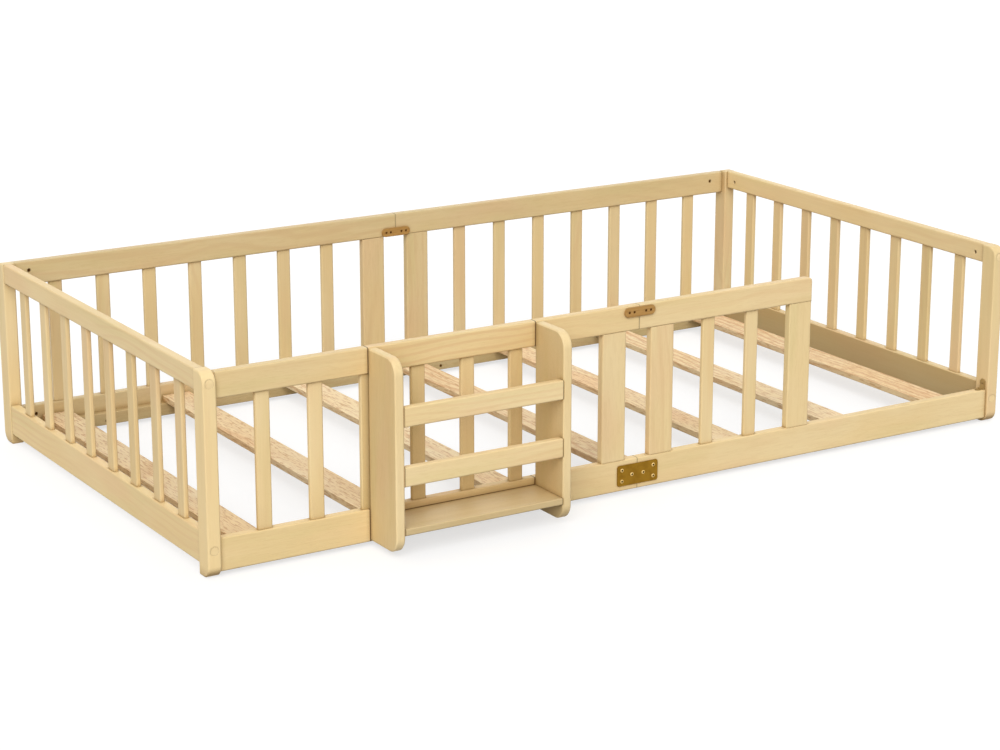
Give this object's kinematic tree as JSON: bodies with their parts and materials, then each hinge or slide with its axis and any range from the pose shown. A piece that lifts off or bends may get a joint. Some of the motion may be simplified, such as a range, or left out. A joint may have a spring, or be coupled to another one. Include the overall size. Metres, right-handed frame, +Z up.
{
  "type": "toddler floor bed",
  "caption": "Low slatted wooden floor bed for a toddler with an open entrance at the front, a book shelf on the front rail and slats under the mattress.",
  "frame": {"origin": "on the floor, under the middle of the overall box", "axes": "+X along the bed towards the entrance end, +Y from the shelf side to the rear, +Z up"},
  "size_m": [1.98, 1.152, 0.409],
  "materials": {
    "pine": "pale pine, planed and clear coated, satin",
    "slat_pine": "pinkish pine, rough sawn, raw",
    "plate_wood": "darker hardwood, satin",
    "brass": "aged brass, satin",
    "bronzed_steel": "bronze coloured plating",
    "beech": "raw beech"
  },
  "bodies": {
    "root": {"barrel_nuts": "bronzed_steel", "brass_plate_screws": "brass", "corner_brace": "bronzed_steel", "corner_brace_screws": "bronzed_steel", "end_left_bottom_rail": "pine", "end_left_slats": "pine", "end_left_top_rail": "pine", "end_right_bottom_rail": "pine", "end_right_slats": "pine", "end_right_top_rail": "pine", "front_bottom_rail_a": "pine", "front_bottom_rail_b": "pine", "front_bottom_rail_c": "pine", "front_bottom_rail_d": "pine", "front_brass_plate": "brass", "front_left_slats": "pine", "front_right_slats": "pine", "front_top_rail_a": "pine", "front_top_rail_b": "pine", "front_top_rail_c": "pine", "front_top_rail_d": "pine", "front_wide_slat_entrance": "pine", "front_wide_slat_left": "pine", "front_wide_slat_right": "pine", "front_wood_plate": "plate_wood", "hanger_bolts": "bronzed_steel", "ledger_front_left": "pine", "ledger_front_right": "pine", "ledger_rear_left": "pine", "ledger_rear_right": "pine", "ledger_screws": "bronzed_steel", "mattress_slats": "slat_pine", "plug_caps": "pine", "post_bolts": "bronzed_steel", "post_front_left": "pine", "post_front_right": "pine", "post_rear_left": "pine", "post_rear_right": "pine", "rail_dowels": "beech", "rear_bottom_rail_left": "pine", "rear_bottom_rail_right": "pine", "rear_brass_plate": "brass", "rear_left_slats": "pine", "rear_right_slats": "pine", "rear_top_rail_left": "pine", "rear_top_rail_right": "pine", "rear_wide_slat_left": "pine", "rear_wide_slat_right": "pine", "rear_wood_plate": "plate_wood", "shelf_dowels": "beech", "shelf_lower_bar": "pine", "shelf_screws": "bronzed_steel", "shelf_side_left": "pine", "shelf_side_right": "pine", "shelf_tray": "pine", "shelf_upper_bar": "pine", "wood_plate_screws": "bronzed_steel"}
  },
  "joints": []
}
